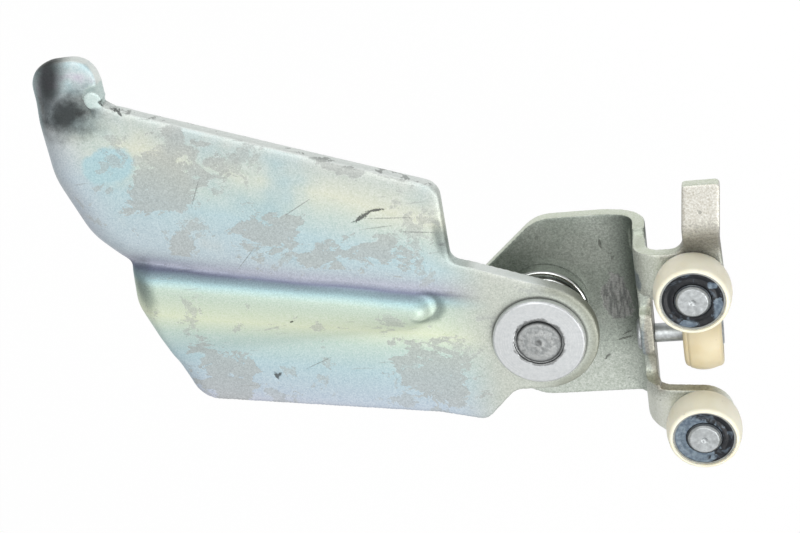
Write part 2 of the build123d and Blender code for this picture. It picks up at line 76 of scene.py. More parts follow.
BAND_WIDTH = 60  # over which the colour bands of the passivation run
ASKEW = 0.62  # turn of a skin's cells against its long edges, in radians
ARM_FRONT = 19  # height above which lies the front of the arm

# Camera of the photograph, its turn in radians, and its focal length over the image width
CAMERA_PLACE = (204.0, 152.2, 414.0)
CAMERA_TURN = (-0.4720, 0.2231, -0.0697)
FOCAL_SHARE = 1500 / 800
SENSOR = 36

# Lamps and floor, in metres
KEY_PLACE, KEY_SIZE = (0.05, 0.36, 0.80), 0.8
FILL_PLACE, FILL_SIZE = (0.62, -0.38, 0.68), 0.5
LAMP_TARGET = (0.1, -0.06, 0)
FLOOR_CENTRE, FLOOR_HALF, FLOOR_FLAT, FLOOR_FALL = (0.1, -0.05), 0.75, 0.5, 0.3
FLOOR_GLOW = 0.93

# Marks: place, size, turn in radians, raggedness and softness of the edge
ARM_PATCHES = (
    ((42, -12), (30, 18), 0.5, 2.8, 0.12), ((45, 2.5), (6, 6), 0.0, 2.0, 0.2),
    ((92, -12.6), (12, 5), -0.35, 2.2, 0.2), ((67, -32), (18, 13), 0.5, 3.0, 0.12),
    ((38, -34), (7, 8), 0.0, 2.0, 0.2), ((93, -41), (28, 10), -0.1, 3.0, 0.12),
    ((42, -80), (22, 17), -0.3, 3.0, 0.12), ((110, -84), (19, 21), 0.3, 3.0, 0.12),
    ((127, -62), (6, 11), 0.3, 2.4, 0.2),
)
ARM_MARKS = (
    ((96.2, -29.2), (5.6, 1.1), 0.5, 1.5, 0.5), ((100.6, -27.4), (4.6, 0.8), 0.08, 1.5, 0.5),
    ((58.9, -82.1), (1.2, 2.4), 0.3, 1.0, 0.5), ((60.0, -81.6), (1.8, 0.9), 0.7, 1.0, 0.5),
    ((68.8, -61.2), (1.3, 0.6), 0.4, 0.3), ((25.5, 13.8), (2.6, 1.8), -0.4, 1.2),
    ((27.0, 12.4), (5.6, 1.0), -0.62, 1.4, 0.4), ((29.6, 10.2), (2.2, 0.6), -0.9, 1.2),
)
ARM_SCRATCHES = (
    ((104, -30.2), (15, 0.35), -0.06, 1.4), ((100, -33), (10, 0.3), 0.05, 1.4),
    ((112, -35.5), (9, 0.4), -0.1, 1.4), ((47, -17), (9, 0.35), 1.1, 1.4),
    ((78, -24), (11, 0.3), 0.5, 1.4), ((58, -40), (8, 0.3), 0.8, 1.4), ((74, -78), (9, 0.3), 0.4, 1.4),
)
CARRIAGE_MARKS = (
    ((162.5, -54.5), (0.8, 3.2), 0.1, 0.3), ((161, -94.3), (2.4, 0.8), 0.7, 1.6, 0.5),
    ((167, -88), (4.2, 0.6), 0.25, 1.6, 0.5), ((168, -86), (3.4, 0.5), 0.5, 1.6, 0.5),
)
CARRIAGE_GREASE = (((173.5, -60), (3, 6), 0.1, 0.8, 0.5), ((174, -82), (2.4, 12), 0.0, 0.8, 0.5))

# Dents: place, size, turn in radians and depth
ARM_DENTS = (
    ((96.2, -29.2), (5.6, 1.2), 0.5, 0.30), ((100.6, -27.4), (4.4, 1.0), 0.1, 0.22),
    ((58.9, -82.0), (1.6, 3), 0.2, 0.25), ((68.8, -61.2), (1.4, 0.7), 0.4, 0.15),
    ((27.0, 12.4), (5.6, 1.2), -0.62, 0.5), ((25.5, 13.8), (2.4, 2.0), 0, 0.4),
    ((45, -7), (9, 1.0), 0.9, 0.06), ((70, -30), (11, 0.9), 0.7, 0.06), ((104, -36), (12, 0.9), 0.1, 0.05),
)
CARRIAGE_DENTS = (
    ((162.5, -54.5), (0.7, 3.2), 0.1, 0.15), ((167, -88), (3.2, 1.8), 0.3, 0.12),
    ((161, -94.3), (3, 1.6), 0.5, 0.1), ((166.5, -70), (2, 6), 0.2, 0.1), ((168, -77), (2, 5), -0.1, 0.1),
)

# Grease on the front seals: smears as place and size, and where its noise starts
SEAL_GREASE = {
    "upper_guide": ([((197, -62), (3, 7)), ((188, -66.5), (6, 2.6)), ((195.5, -54.5), (2.6, 2.2))], 1.0),
    "lower_guide": ([((185, -107), (16, 22))], 4.0),
    "load_roller": ([], 6.0),
}


def srgb(red, green, blue):
    """Colour socket value from 0 to 255 screen values."""
    def linear(level):
        level /= 255
        return level / 12.92 if level <= 0.04045 else ((level + 0.055) / 1.055) ** 2.4
    return (linear(red), linear(green), linear(blue), 1.0)


class PlateLook(bpy.types.PropertyGroup):
    """How the skins of the pressed sheets are made."""

    arm_voxel: bpy.props.FloatProperty(
        name="Arm detail", description="Size of the smallest detail on the arm's skin",
        default=0.62 * MM, unit="LENGTH", precision=5)
    carriage_voxel: bpy.props.FloatProperty(
        name="Carriage detail", description="Size of the smallest detail on the carriage's skin",
        default=0.42 * MM, unit="LENGTH", precision=5)
    easing: bpy.props.IntProperty(
        name="Edge easing", description="Smoothing passes that round the sheared edges",
        default=8, min=1, max=30)
    drawing: bpy.props.IntProperty(
        name="Drawing", description="Smoothing passes where the press drew the sheet over rib and tab",
        default=28, min=1, max=100)
    waviness: bpy.props.FloatProperty(
        name="Waviness", description="Depth of the unevenness left by the press",
        default=0.08 * MM, unit="LENGTH", precision=5)


class LatheLook(bpy.types.PropertyGroup):
    """How the turned pieces are made."""

    steps: bpy.props.IntProperty(
        name="Steps", description="Steps round a turned piece", default=160, min=48, max=512)
    wobble: bpy.props.FloatProperty(
        name="Wobble", description="Largest unevenness of a turned piece",
        default=0.03 * MM, unit="LENGTH", precision=5)


class FinishLook(bpy.types.PropertyGroup):
    """Colours of the finishes."""

    ear_zinc: bpy.props.FloatVectorProperty(
        name="Ear", description="Zinc on the arm's ear, where the colour bands end",
        default=srgb(199, 204, 194), size=4, min=0, max=1, subtype="COLOR")
    rubbed_zinc: bpy.props.FloatVectorProperty(
        name="Rubbed patches", description="Matt patches where the arm's colour bands are rubbed off",
        default=srgb(181, 184, 181), size=4, min=0, max=1, subtype="COLOR")
    carriage_zinc: bpy.props.FloatVectorProperty(
        name="Carriage", description="Lighter tone of the carriage's plain zinc",
        default=srgb(184, 189, 182), size=4, min=0, max=1, subtype="COLOR")
    washer_steel: bpy.props.FloatVectorProperty(
        name="Washer", description="Bright steel of the swivel's washer",
        default=srgb(219, 222, 223), size=4, min=0, max=1, subtype="COLOR")
    axle_steel: bpy.props.FloatVectorProperty(
        name="Axles", description="Steel of the rollers' riveted axles",
        default=srgb(182, 186, 187), size=4, min=0, max=1, subtype="COLOR")
    guide_nylon: bpy.props.FloatVectorProperty(
        name="Guide rollers", description="Nylon of the two guide rollers",
        default=srgb(240, 236, 216), size=4, min=0, max=1, subtype="COLOR")
    load_nylon: bpy.props.FloatVectorProperty(
        name="Load roller", description="Nylon of the load roller",
        default=srgb(213, 201, 169), size=4, min=0, max=1, subtype="COLOR")
    rubber: bpy.props.FloatVectorProperty(
        name="Seals", description="Rubber of the bearing seals under their grease",
        default=srgb(17, 20, 25), size=4, min=0, max=1, subtype="COLOR")


class StageLook(bpy.types.PropertyGroup):
    """Lamps, floor and world."""

    key_power: bpy.props.FloatProperty(
        name="Key lamp", description="Power of the large lamp above the arm", default=4.0, subtype="POWER")
    fill_power: bpy.props.FloatProperty(
        name="Fill lamp", description="Power of the small lamp beyond the rollers",
        default=3.6, subtype="POWER")
    world_level: bpy.props.FloatProperty(
        name="World light", description="Brightness of the light from straight above", default=0.7)
    horizon_level: bpy.props.FloatProperty(
        name="Horizon light", description="Brightness of the light from the sides", default=0.42)
    floor_drop: bpy.props.FloatProperty(
        name="Floor drop", description="How far the floor lies below the object's origin",
        default=0.25, unit="LENGTH")


def colour_of(value):
    """Colour for a socket: three numbers are screen values, anything else stays as it is."""
    return srgb(*value) if isinstance(value, tuple) and len(value) == 3 else value


class Nodes:
    """A node tree, with short calls for what the finishes and the world share."""

    def __init__(self, owner):
        owner.use_nodes = True
        self.nodes = owner.node_tree.nodes
        self.links = owner.node_tree.links

    def add(self, kind, inputs=None, **settings):
        """New node with its settings, and its inputs fed by name or number."""
        node = self.nodes.new(kind)
        for key, value in settings.items():
            setattr(node, key, value)
        for key, value in (inputs or {}).items():
            self.feed(node.inputs[key], value)
        return node

    def feed(self, socket, value):
        """Links a socket to another, or sets a plain value on it."""
        if isinstance(value, bpy.types.NodeSocket):
            self.links.new(value, socket)
        else:
            socket.default_value = value

    def maths(self, operation, *values):
        """Result of a math node."""
        return self.add("ShaderNodeMath", dict(enumerate(values)), operation=operation).outputs[0]

    def times(self, first, second):
        """Product of two values."""
        return self.maths("MULTIPLY", first, second)

    def most(self, *masks):
        """Largest of several masks."""
        result = masks[0]
        for mask in masks[1:]:
            result = self.maths("MAXIMUM", result, mask)
        return result

    def component(self, vector, index):
        """One component of a vector."""
        return self.add("ShaderNodeSeparateXYZ", {0: vector}).outputs[index]


class Recipe(Nodes):
    """One material, its colour and bumps laid over each other from call to call."""

    def __init__(self, name):
        self.material = bpy.data.materials.new(name)
        super().__init__(self.material)
        self.shader = self.nodes["Principled BSDF"]
        coordinates = self.add("ShaderNodeTexCoord")
        self.place = coordinates.outputs["Object"]
        self.facing = coordinates.outputs["Normal"]
        self.colour = None
        self.normal = None

    def mapped(self, vector_type="POINT", **inputs):
        """The surface point moved, turned and scaled, in metres."""
        inputs["Vector"] = self.place
        return self.add("ShaderNodeMapping", inputs, vector_type=vector_type).outputs["Vector"]

    def length(self, vector):
        """Length of a vector."""
        return self.add("ShaderNodeVectorMath", {0: vector}, operation="LENGTH").outputs["Value"]

    def grain(self, size, detail=4.0, rough=0.55, stretch=(1, 1, 1), turn=0.0, shift=0.0, warp=0.0):
        """Noise level from 0 to 1 whose features are about size mm across."""
        place = self.mapped(Rotation=(0, 0, turn), Location=(shift, shift * 0.7, shift * 1.3), Scale=stretch)
        return self.add("ShaderNodeTexNoise", {
            "Vector": place, "Scale": 1 / (size * MM), "Detail": detail, "Roughness": rough,
            "Distortion": warp}).outputs["Fac"]

    def step(self, value, low, high):
        """0 below low, 1 above high, smooth between them. Low may be the larger one."""
        ends = {"From Min": min(low, high), "From Max": max(low, high)}
        if low > high:
            ends.update({"To Min": 1, "To Max": 0})
        return self.add("ShaderNodeMapRange", {"Value": value, **ends},
                        interpolation_type="SMOOTHSTEP").outputs["Result"]

    def ramp(self, value, stops):
        """Colours blended along a value, from (position, colour) stops."""
        node = self.add("ShaderNodeValToRGB", {"Fac": value})
        while len(node.color_ramp.elements) < len(stops):
            node.color_ramp.elements.new(0.5)
        for element, (position, colour) in zip(node.color_ramp.elements, stops):
            element.position = position
            element.color = colour_of(colour)
        return node.outputs["Color"]

    def blend(self, share, first, second, kind="MIX"):
        """Two colours blended by a share."""
        inputs = {0: share, 6: colour_of(first), 7: colour_of(second)}
        return self.add("ShaderNodeMix", inputs, data_type="RGBA", blend_type=kind).outputs[2]

    def paint(self, mask, colour, share=1.0):
        """Lays a colour over the colour so far, by a share of a mask."""
        if share != 1:
            mask = self.times(mask, share)
        self.colour = self.blend(mask, self.colour, colour)

    def darken(self, level):
        """Takes the colour so far down to a level, in linear light."""
        self.colour = self.blend(1.0, self.colour, (level, level, level, 1), "MULTIPLY")

    def speckle(self, speck, share, *stops):
        """Dark and light grains over the colour so far."""
        self.colour = self.blend(share, self.colour, self.ramp(speck, stops), "OVERLAY")

    def axis(self, index):
        """One coordinate of the surface point."""
        return self.times(self.component(self.place, index), 1 / MM)

    def turned_to(self, index, low, high):
        """Mask of the surfaces that face along one axis."""
        return self.step(self.component(self.facing, index), low, high)

    def above_line(self, line, ragged=0.0):
        """Distance above a line across the plate, made uneven by noise."""
        (x, y), slope = line
        line_height = self.maths("MULTIPLY_ADD", self.axis(0), slope, y - slope * x)
        rise = self.maths("SUBTRACT", self.axis(1), line_height)
        if not ragged:
            return rise
        waves = self.maths("MULTIPLY_ADD", self.grain(26, 2, 0.5), ragged, -ragged / 2)
        return self.maths("ADD", rise, waves)

    def radius(self, centre, unit=1.0):
        """Distance from an upright axis, in units of so many mm."""
        place = self.mapped(Location=(-centre[0] * MM, -centre[1] * MM, 0), Scale=(1, 1, 0))
        return self.maths("DIVIDE", self.length(place), unit * MM)

    def angle(self, centre):
        """Angle about an upright axis, in radians."""
        across, along = (self.maths("SUBTRACT", self.component(self.place, index), centre[index] * MM)
                         for index in (0, 1))
        return self.maths("ARCTAN2", along, across)

    def spot(self, place, size, turn=0.0, ragged=0.5, soft=0.3, tear=None):
        """Mask of one oval mark across the plate, its edge torn by a noise."""
        oval = self.mapped("TEXTURE", Location=(place[0] * MM, place[1] * MM, 0), Rotation=(0, 0, turn),
                           Scale=(size[0] * MM / 2, size[1] * MM / 2, 1))
        tear = tear or self.grain(max(0.6, 0.5 * min(size)), 5, 0.62, shift=place[0])
        torn = self.maths("MULTIPLY_ADD", tear, 2 * ragged, -ragged)
        return self.step(self.maths("ADD", self.length(oval), torn), 1 + soft / 2, 1 - soft / 2)

    def spots(self, marks, tear=None):
        """Mask of several oval marks."""
        return self.most(*(self.spot(*mark, tear=tear) for mark in marks))

    def bump(self, height, depth):
        """Bends the normal by a height, depth in mm, over the bumps so far."""
        node = self.add("ShaderNodeBump", {"Strength": 1.0, "Distance": depth * MM, "Height": height})
        if self.normal is not None:
            self.links.new(self.normal, node.inputs["Normal"])
        self.normal = node.outputs["Normal"]

    def finish(self, roughness, metallic=0.0, **uniform):
        """Sets the shader from the colour and bumps so far, and gives back the material."""
        self.feed(self.shader.inputs["Base Color"], self.colour)
        self.feed(self.shader.inputs["Roughness"], roughness)
        self.shader.inputs["Metallic"].default_value = metallic
        if self.normal is not None:
            self.links.new(self.normal, self.shader.inputs["Normal"])
        for key, value in uniform.items():
            self.shader.inputs[key.replace("_", " ")].default_value = value
        return self.material


def arm_bands(zinc, below, look):
    """Bands of colour along the crease and under the top edge, plain zinc on ear and door side, and a painted
    shade line in the crease valley.
    """
    under_top = zinc.times(zinc.above_line(TOP_EDGE, 9), -1)
    # The dark violet stops near 0.10 are painted shade in the crease valley, where the rib rises from the
    # upper half.
    lower = zinc.ramp(zinc.maths("MULTIPLY_ADD", below, -1 / BAND_WIDTH, 0.1), (
        (0.00, (190, 201, 208)), (0.07, (186, 190, 203)), (0.10, (118, 124, 146)),
        (0.117, (148, 168, 178)), (0.14, (172, 202, 206)), (0.18, (198, 217, 203)),
        (0.34, (231, 240, 211)), (0.45, (203, 224, 214)), (0.60, (190, 215, 221)),
        (0.80, (195, 208, 221)), (1.00, (214, 201, 217)),
    ))
    upper = zinc.ramp(zinc.times(under_top, 1 / BAND_WIDTH), (
        (0.00, (214, 218, 212)), (0.08, (206, 214, 206)), (0.20, (225, 228, 209)),
        (0.32, (205, 220, 212)), (0.46, (191, 215, 220)), (0.70, (194, 210, 217)),
        (1.00, (200, 207, 219)),
    ))
    zinc.colour = zinc.blend(zinc.step(below, 2, 9), lower, upper)
    zinc.paint(zinc.step(zinc.axis(0), 112, 132), look.ear_zinc)
    zinc.paint(zinc.step(zinc.axis(0), 22, 6), (196, 203, 214), 0.7)
    clouds = zinc.grain(34, 3, 0.55, shift=3.1)
    above_crease = zinc.step(below, 4, 10)
    zinc.paint(zinc.times(zinc.step(clouds, 0.48, 0.8), above_crease), (182, 207, 212))
    zinc.paint(zinc.times(zinc.step(clouds, 0.42, 0.2), above_crease), (207, 210, 204))
    zinc.paint(zinc.spot((22, -6), (17, 11), 0.2, 0.4), (184, 214, 220))


def arm_rubbed(zinc, below, front):
    """Mask of the matt patches where the colour bands are rubbed off, clear of the crease."""
    tear = zinc.grain(8, 7, 0.66, stretch=(0.8, 1.3, 1), turn=0.5, shift=1.7, warp=0.4)
    patches = zinc.times(zinc.spots(ARM_PATCHES, tear), front)
    chips = zinc.grain(13, 8, 0.68, stretch=(1, 1, 3), shift=5.2, warp=0.3)
    loose = zinc.times(zinc.step(chips, 0.58, 0.6), 0.75)
    clear_crease = zinc.most(zinc.step(below, 1, 4), zinc.step(below, -4, -8))
    return zinc.times(zinc.most(patches, loose), clear_crease)


def arm_edge_light_and_dashes(zinc, below, tab, by_ear):
    """Painted light on the upward-facing faces off the rib and on the tab's right-facing faces, with the dark
    dashes that the shears left along the top.
    """
    off_rib = zinc.most(zinc.step(below, 12, 16), by_ear)
    # Painted light: faces turned upwards off the rib, and the tab's faces turned to the right, are lightened.
    zinc.paint(zinc.most(zinc.times(zinc.turned_to(1, 0.4, 0.8), off_rib),
                         zinc.times(zinc.turned_to(0, 0.5, 0.85), tab)), (226, 232, 228))
    dashes = zinc.grain(2.6, 6, 0.66, stretch=(0.2, 1.5, 1), turn=-0.34, shift=2.2)
    rim = zinc.times(zinc.step(zinc.above_line(TOP_EDGE), -1.6, -0.4), zinc.step(zinc.axis(0), 24, 28))
    zinc.paint(zinc.times(zinc.step(dashes, 0.56, 0.6), rim), (96, 99, 96), 0.55)


def arm_painted_light_and_lobe(zinc, by_ear):
    """Painted shade at the rib's dome, the notch corner and the rib's left end, the washer's painted shadow
    and contact shadow on the ear, painted shade on the ear's right-facing faces, painted dark reflection on
    the tab's side and root, a painted rim light on the tab's left-facing faces, and the pale lobe.
    """
    # Painted shade at the rib's dome end, in the notch corner by the ear and at the rib's left end; the
    # dome's own face stays clear.
    off_dome = zinc.maths("SUBTRACT", 1, zinc.spot(DOME, (8.4, 7.8), 0, 0.05, 0.3))
    zinc.paint(zinc.most(
        zinc.times(zinc.spot((111.2, -61), (10.4, 10), 0, 0.1, 0.5), off_dome),
        zinc.spot((118.6, -38.5), (4, 11), 0.1, 0.3, 1.2),
        zinc.spot((23.7, -46.2), (6, 14), 0.15, 0.3, 1.4)), (70, 82, 84), 0.62)
    radius = zinc.radius(SWIVEL)
    washer = place_of("pivot_washer", 2)[1]
    # Painted shadow of the washer on the ear, on the washer's far side.
    washer_far_shadow = zinc.times(zinc.step(radius, 14.2, 16.8), zinc.step(zinc.axis(0), 142, 150))
    zinc.paint(washer_far_shadow, (136, 138, 124), 0.7)
    # Painted contact shadow on the ear round the washer's edge.
    zinc.paint(zinc.step(radius, washer + 0.9, washer + 0.2), (70, 72, 70), 0.7)
    # Painted shade on the ear's faces turned to the right.
    zinc.paint(zinc.times(zinc.turned_to(0, 0.35, 0.8), by_ear), (138, 140, 124), 0.5)
    # Painted dark reflection on the tab's rolled left side and at its bent root.
    tab_side_dark_reflection = zinc.times(zinc.spot((8.8, 21.5), (9, 28), -0.32, 0.15, 1.5), 0.95)
    tab_root_dark_reflection = zinc.times(zinc.spot((12.2, 10.6), (21, 12), 0.2, 0.8, 1.5), 0.94)
    zinc.paint(zinc.most(tab_side_dark_reflection, tab_root_dark_reflection), (24, 28, 29))
    # Painted rim light on the tab's faces turned to the left.
    left_rim_light = zinc.times(zinc.turned_to(0, -0.5, -0.9), zinc.step(zinc.axis(1), 2, 8))
    zinc.paint(left_rim_light, (150, 170, 174), 0.75)
    zinc.paint(zinc.spot(LOBE, (7.6, 6.4), 0.3, 0.4, 0.3), (198, 214, 210))


def arm_plating(look):
    """Passivated zinc on the arm: bands of pale blue, yellow and violet, with matt rubbed patches."""
    zinc = Recipe("arm_plating")
    below = zinc.above_line(CREASE, 1.6)
    front = zinc.turned_to(2, -0.1, 0.25)
    arm_bands(zinc, below, look)
    patches = arm_rubbed(zinc, below, front)
    zinc.paint(patches, look.rubbed_zinc, 0.72)
    scratches = zinc.grain(2.2, 5, 0.6, stretch=(0.16, 1.6, 1), turn=0.6, shift=8.0)
    zinc.paint(zinc.step(scratches, 0.66, 0.72), (160, 162, 160), 0.4)
    tab = zinc.step(zinc.axis(1), 14, 18)
    zinc.paint(tab, zinc.ramp(zinc.grain(9, 3, 0.5), (
        (0.35, (190, 214, 218)), (0.5, (206, 220, 222)), (0.65, (212, 206, 220)))))
    zinc.darken(0.86)
    by_ear = zinc.step(zinc.axis(0), 124, 128)
    arm_edge_light_and_dashes(zinc, below, tab, by_ear)
    arm_painted_light_and_lobe(zinc, by_ear)
    marks = zinc.times(zinc.spots(ARM_MARKS), front)
    zinc.paint(marks, (66, 68, 67), 0.85)
    zinc.paint(zinc.times(zinc.spots(ARM_SCRATCHES), front), (120, 122, 120), 0.6)
    speck = zinc.grain(0.45, 3, 0.75)
    zinc.speckle(speck, 0.3, (0.3, (108, 113, 113)), (0.7, (255, 255, 255)))
    zinc.bump(speck, 0.04)
    zinc.bump(zinc.times(patches, -1), 0.03)
    zinc.bump(zinc.times(marks, -1), 0.12)
    rough = zinc.maths("MULTIPLY_ADD", patches, 0.1, 0.46)
    return zinc.finish(zinc.maths("MULTIPLY_ADD", speck, 0.12, rough), 0.5)


def carriage_plating(look):
    """Plain zinc on the carriage: greenish grey and speckled, with painted shade round the collar, by the
    wall and next to the upper roller, and painted light on the plate's lower part and on upward-facing faces.
    """
    zinc = Recipe("carriage_plating")
    clouds = zinc.grain(22, 4, 0.6, shift=2.4)
    zinc.colour = zinc.blend(zinc.step(clouds, 0.35, 0.65), (166, 174, 166), look.carriage_zinc)
    ears = zinc.step(zinc.axis(2), 12, 22)
    zinc.paint(ears, (196, 198, 190))
    zinc.paint(zinc.times(zinc.step(zinc.axis(1), -52, -46), ears), (216, 211, 203), 0.8)
    # Painted shade round the collar, where the arm shades the swivel plate.
    zinc.paint(zinc.spot((146, -62), (46, 42), 0, 0.12, 0.8), (104, 108, 100), 0.55)
    behind = zinc.step(zinc.axis(2), 14, 10)
    # Painted shade on the plate in the concave corner by the wall.
    zinc.paint(zinc.times(zinc.step(zinc.axis(0), 160, 173), behind), (88, 96, 88), 0.9)
    # Painted light on the plate's lower part, away from the arm's shade.
    zinc.paint(zinc.times(zinc.step(zinc.axis(1), -82, -96), behind), (210, 216, 208), 0.8)
    front = zinc.turned_to(2, -0.1, 0.25)
    scuff = zinc.times(zinc.spot((166, -73.5), (9, 16), 0.1, 0.8, 0.12), front)
    torn = zinc.grain(1.6, 5, 0.6, stretch=(1.6, 0.25, 1), shift=4.4)
    zinc.paint(scuff, zinc.ramp(torn, ((0.42, (104, 104, 104)), (0.55, (148, 147, 146)))), 0.8)
    zinc.paint(zinc.spots(CARRIAGE_GREASE), (118, 130, 142), 0.7)
    zinc.darken(0.87)

    # Faces turned upwards take the sheared edges' own pale and olive tones, partly painted light on faces
    # turned up.
    cut_edge_tone_and_light = zinc.blend(zinc.step(zinc.axis(1), -92, -96), (226, 232, 216), (168, 163, 142))
    zinc.paint(zinc.turned_to(1, 0.45, 0.85), cut_edge_tone_and_light, 0.9)
    lower_ear = zinc.times(zinc.step(zinc.axis(1), -96, -101), ears)
    zinc.paint(lower_ear, (236, 238, 228), 0.75)
    # Painted shade on the strap's foot next to the upper roller.
    shade_by_roller = zinc.spot((194, -46.5), (20, 13), 0.0, 0.2, 1.4)
    zinc.paint(shade_by_roller, (90, 86, 76), 0.6)
    front_edge = zinc.times(zinc.spot((176.5, -53), (10, 17), 0.0, 0.05, 0.2), zinc.turned_to(2, 0.5, 0.85))
    zinc.paint(front_edge, (222, 228, 214), 0.4)
    window = zinc.spot((178, -82), (8, 30), 0.0, 0.1, 0.2)
    zinc.paint(window, (150, 140, 126), 0.5)
    specks = zinc.times(zinc.step(zinc.grain(3.4, 2, 0.4, shift=6.6), 0.72, 0.76), 0.6)
    marks = zinc.times(zinc.most(zinc.spots(CARRIAGE_MARKS), specks), front)
    zinc.paint(marks, (84, 86, 80), 0.7)
    speck = zinc.grain(0.6, 3, 0.78)
    zinc.speckle(speck, 0.45, (0.3, (84, 88, 84)), (0.68, (245, 248, 243)))
    zinc.bump(speck, 0.045)
    zinc.bump(zinc.times(zinc.most(scuff, marks), -1), 0.06)
    return zinc.finish(zinc.maths("MULTIPLY_ADD", speck, 0.16, 0.4), 0.55)


def turned_steel(name, colour, roughness, metallic=0.85, dirt=0.25, round_pin=False):
    """Turned or rolled steel with fine marks and dirt, and if asked tool rings round the pin and painted
    shade in the recess round it.
    """
    steel = Recipe(name)
    speck = steel.grain(1.1, 4, 0.65)
    cloud = steel.grain(5.5, 4, 0.6, shift=1.2)
    steel.colour = colour
    steel.paint(steel.step(cloud, 0.45, 0.75), (128, 130, 128), dirt)
    steel.speckle(speck, 0.25, (0.3, (110, 112, 112)), (0.7, (255, 255, 255)))
    steel.bump(speck, 0.02)
    if round_pin:
        place = steel.mapped("TEXTURE", Location=(SWIVEL[0] * MM, SWIVEL[1] * MM, 0))
        rings = steel.add("ShaderNodeTexWave", {"Vector": place, "Scale": 420, "Distortion": 5, "Detail": 3},
                          wave_type="RINGS", rings_direction="Z")
        steel.bump(rings.outputs["Fac"], 0.012)
        # Painted shade in the washer's recess round the pin, its edge ragged where the rivet crumpled it.
        creases = steel.grain(3.0, 5, 0.62, shift=6.1)
        crumpled = steel.maths("MULTIPLY_ADD", creases, -3.6, steel.radius(SWIVEL))
        steel.paint(steel.step(crumpled, 6.6, 5.8), (104, 106, 105), 0.75)
    return steel.finish(steel.maths("MULTIPLY_ADD", cloud, 0.14, roughness), metallic)


def peened_steel():
    """Riveted end of the swivel pin: smeared in a spiral by the riveting tool, with painted shade in its
    groove.
    """
    steel = Recipe("peened_steel")
    radius = steel.radius(SWIVEL)
    smear = steel.grain(1.6, 5, 0.62, shift=4.0)
    turns = steel.maths("ADD", steel.times(radius, 1.9), steel.angle(SWIVEL))
    turns = steel.maths("ADD", turns, steel.times(smear, 13))
    ridge = steel.maths("MULTIPLY_ADD", steel.maths("SINE", turns), 0.5, 0.5)
    steel.colour = steel.ramp(ridge, (
        (0.0, (150, 153, 153)), (0.45, (166, 169, 169)), (1.0, (178, 180, 179))))
    steel.paint(steel.step(smear, 0.5, 0.74), (138, 140, 139))
    # Painted shade in the groove between the pin's end and the washer.
    groove = steel.times(steel.step(radius, 5.9, 6.8), steel.step(steel.axis(2), 12, 16))
    steel.paint(groove, (58, 60, 60))
    steel.paint(steel.step(radius, 1.5, 0.7), (96, 98, 97), 0.7)
    steel.bump(ridge, 0.035)
    steel.bump(smear, 0.1)
    return steel.finish(steel.maths("MULTIPLY_ADD", smear, 0.2, 0.38), 0.7)


def bright_collar():
    """Chromed spacer of the swivel, with painted highlight rings and a painted contact shadow as the dark
    line where its flange meets the carriage.
    """
    chrome = Recipe("bright_collar")
    rim = place_of("pivot_collar", 2)[1]
    # The ramp paints highlight rings and, at 0.86 of the rim, the dark contact shadow; it is darker inside.
    chrome.colour = chrome.ramp(chrome.radius(SWIVEL, rim), (
        (0.60, (120, 124, 122)), (0.74, (226, 229, 228)), (0.82, (236, 238, 237)), (0.86, (60, 62, 60)),
        (0.90, (214, 218, 216)), (0.96, (232, 234, 233)), (0.99, (196, 200, 196))))
    speck = chrome.grain(1.3, 4, 0.6)
    chrome.paint(chrome.step(speck, 0.55, 0.75), (128, 130, 128), 0.3)
    chrome.bump(speck, 0.01)
    return chrome.finish(chrome.maths("MULTIPLY_ADD", speck, 0.1, 0.1), 1.0)


def moulded_nylon(name, colour, shade, warmth):
    """Moulded nylon tread: waxy, slightly see-through at its rims, with rail dirt rubbed in."""
    nylon = Recipe(name)
    cloud = nylon.grain(9, 3, 0.5)
    nylon.colour = nylon.blend(nylon.step(cloud, 0.35, 0.7), colour, shade)
    dirt = nylon.grain(1.3, 6, 0.7, stretch=(1, 1, 0.6), shift=3.3)
    nylon.paint(nylon.step(dirt, 0.63, 0.74), (139, 130, 110), 0.4)
    fine = nylon.grain(0.7, 3, 0.6)
    nylon.bump(fine, 0.012)
    nylon.bump(cloud, 0.05)
    return nylon.finish(nylon.maths("MULTIPLY_ADD", fine, 0.16, 0.36), Subsurface_Weight=0.25,
                        Subsurface_Scale=1.2 * MM, Subsurface_Radius=warmth)


def greasy_rubber(name, black, greased, shift):
    """Black seal with blue grey grease, mostly where it was smeared: places and sizes, or none."""
    rubber = Recipe(name)
    smear = rubber.grain(3.6, 5, 0.6, shift=shift, warp=0.6)
    streaks = rubber.grain(1.2, 4, 0.6, shift=shift + 2)
    grease = rubber.times(rubber.step(smear, 0.56, 0.66), 0.45)
    for place, size in greased:
        grease = rubber.most(grease, rubber.spot(place, size, 0, 1.3, 0.3, smear))
    rubber.colour = black
    rubber.paint(grease, rubber.blend(rubber.step(streaks, 0.35, 0.7), (82, 96, 110), (122, 136, 146)))
    rubber.bump(smear, 0.22)
    rubber.bump(streaks, 0.06)
    return rubber.finish(rubber.maths("MULTIPLY_ADD", streaks, 0.24, 0.3), Specular_IOR_Level=0.35)


def sintered_bronze():
    """Porous bronze of the swivel bush, dark with oil."""
    bronze = Recipe("sintered_bronze")
    pores = bronze.grain(0.5, 4, 0.7)
    bronze.colour = bronze.ramp(pores, ((0.35, (92, 72, 44)), (0.6, (176, 140, 86))))
    bronze.bump(pores, 0.04)
    return bronze.finish(bronze.maths("MULTIPLY_ADD", pores, 0.25, 0.3), 0.9)


def cage_nylon():
    """Natural nylon of the ball cages, stained by grease."""
    nylon = Recipe("cage_nylon")
    stain = nylon.grain(2.4, 4, 0.6)
    nylon.colour = nylon.ramp(stain, ((0.35, (168, 158, 128)), (0.65, (214, 206, 178))))
    nylon.bump(stain, 0.03)
    return nylon.finish(nylon.maths("MULTIPLY_ADD", stain, 0.2, 0.35))


